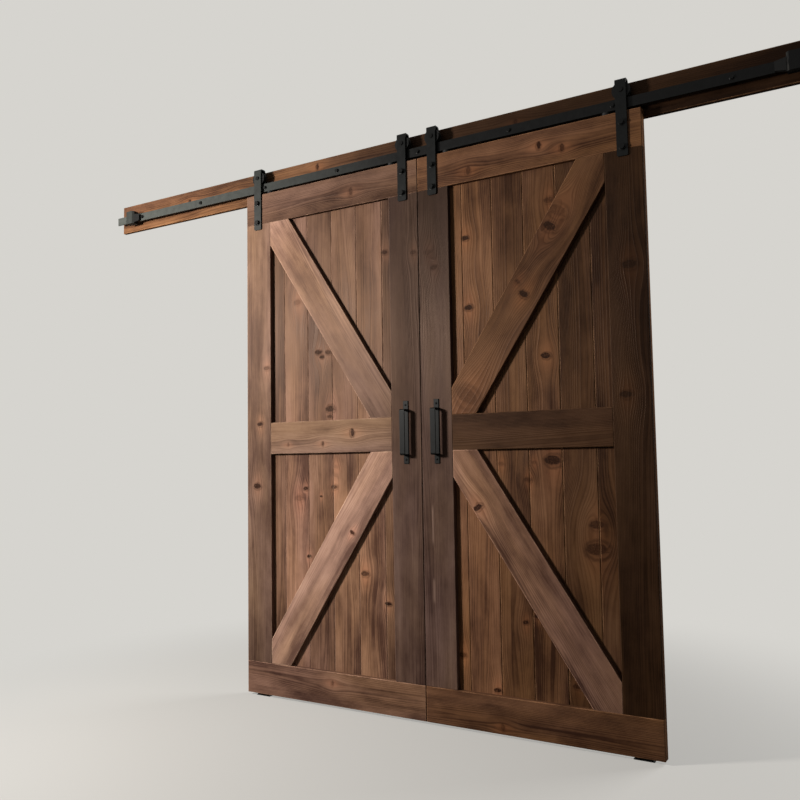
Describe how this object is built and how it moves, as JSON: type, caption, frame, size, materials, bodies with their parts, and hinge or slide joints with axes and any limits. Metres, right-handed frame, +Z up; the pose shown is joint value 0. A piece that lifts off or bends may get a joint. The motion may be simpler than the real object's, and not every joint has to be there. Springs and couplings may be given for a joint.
{
  "type": "barn doors",
  "caption": "Pair of sliding board and batten barn doors with diagonal braces, hung by wheeled straps from a flat track on a header board.",
  "frame": {"origin": "centre of the header board's wall face, above the line where the two closed leaves meet", "axes": "+X along the wall to the right as seen from the room, +Y into the wall, +Z up"},
  "size_m": [3.622, 0.1, 2.3918],
  "materials": {
    "left_leaf_wood": "satin stained knotty pine, warm brown",
    "right_leaf_wood": "satin stained knotty pine, orange brown",
    "header_wood": "satin stained knotty pine, dark brown",
    "black_steel": "satin black powder coat",
    "wheel_steel": "satin black, bright where it rolls",
    "black_plastic": "matt black nylon",
    "rubber": "matt black rubber"
  },
  "bodies": {
    "frame": {"header_board": "header_wood", "track": "black_steel", "track_spacers": "black_steel", "track_bolts": "black_steel", "end_stops": "black_steel", "stop_buffers": "rubber", "floor_guides": "black_steel"},
    "left_leaf": {"left_inner_stile": "left_leaf_wood", "left_outer_stile": "left_leaf_wood", "left_top_rail": "left_leaf_wood", "left_mid_rail": "left_leaf_wood", "left_bottom_rail": "left_leaf_wood", "left_upper_brace": "left_leaf_wood", "left_lower_brace": "left_leaf_wood", "left_inner_strip": "left_leaf_wood", "left_outer_strip": "left_leaf_wood", "left_planks": "left_leaf_wood", "left_hanger_straps": "black_steel", "left_strap_bolts": "black_steel", "left_axle_bolts": "black_steel", "left_jump_discs": "black_plastic", "left_handle_plate": "black_steel", "left_handle_grip": "black_steel"},
    "left_inner_wheel": {"left_inner_wheel": "wheel_steel"},
    "left_outer_wheel": {"left_outer_wheel": "wheel_steel"},
    "right_leaf": {"right_inner_stile": "right_leaf_wood", "right_outer_stile": "right_leaf_wood", "right_top_rail": "right_leaf_wood", "right_mid_rail": "right_leaf_wood", "right_bottom_rail": "right_leaf_wood", "right_upper_brace": "right_leaf_wood", "right_lower_brace": "right_leaf_wood", "right_inner_strip": "right_leaf_wood", "right_outer_strip": "right_leaf_wood", "right_planks": "right_leaf_wood", "right_hanger_straps": "black_steel", "right_strap_bolts": "black_steel", "right_axle_bolts": "black_steel", "right_jump_discs": "black_plastic", "right_handle_plate": "black_steel", "right_handle_grip": "black_steel"},
    "right_inner_wheel": {"right_inner_wheel": "wheel_steel"},
    "right_outer_wheel": {"right_outer_wheel": "wheel_steel"}
  },
  "joints": [
    {"name": "left_leaf_slide", "type": "slide", "parent": "frame", "child": "left_leaf", "axis": [-1, 0, 0], "range_m": [0, 0.772]},
    {"name": "left_inner_wheel_turn", "type": "hinge", "parent": "left_leaf", "child": "left_inner_wheel", "pos_m": [-0.0705, -0.053, 0.0298], "axis": [0, 1, 0], "range_deg": [-1640, 0]},
    {"name": "left_outer_wheel_turn", "type": "hinge", "parent": "left_leaf", "child": "left_outer_wheel", "pos_m": [-0.8465, -0.053, 0.0298], "axis": [0, 1, 0], "range_deg": [-1640, 0]},
    {"name": "right_leaf_slide", "type": "slide", "parent": "frame", "child": "right_leaf", "axis": [1, 0, 0], "range_m": [0, 0.485]},
    {"name": "right_inner_wheel_turn", "type": "hinge", "parent": "right_leaf", "child": "right_inner_wheel", "pos_m": [0.0705, -0.053, 0.0298], "axis": [0, 1, 0], "range_deg": [0, 1031]},
    {"name": "right_outer_wheel_turn", "type": "hinge", "parent": "right_leaf", "child": "right_outer_wheel", "pos_m": [0.8465, -0.053, 0.0298], "axis": [0, 1, 0], "range_deg": [0, 1031]}
  ],
  "couplings": [
    {"joint": "left_inner_wheel_turn", "follows": "left_leaf_slide", "rad_per_m": -37.037},
    {"joint": "left_outer_wheel_turn", "follows": "left_leaf_slide", "rad_per_m": -37.037},
    {"joint": "right_inner_wheel_turn", "follows": "right_leaf_slide", "rad_per_m": 37.037},
    {"joint": "right_outer_wheel_turn", "follows": "right_leaf_slide", "rad_per_m": 37.037}
  ]
}
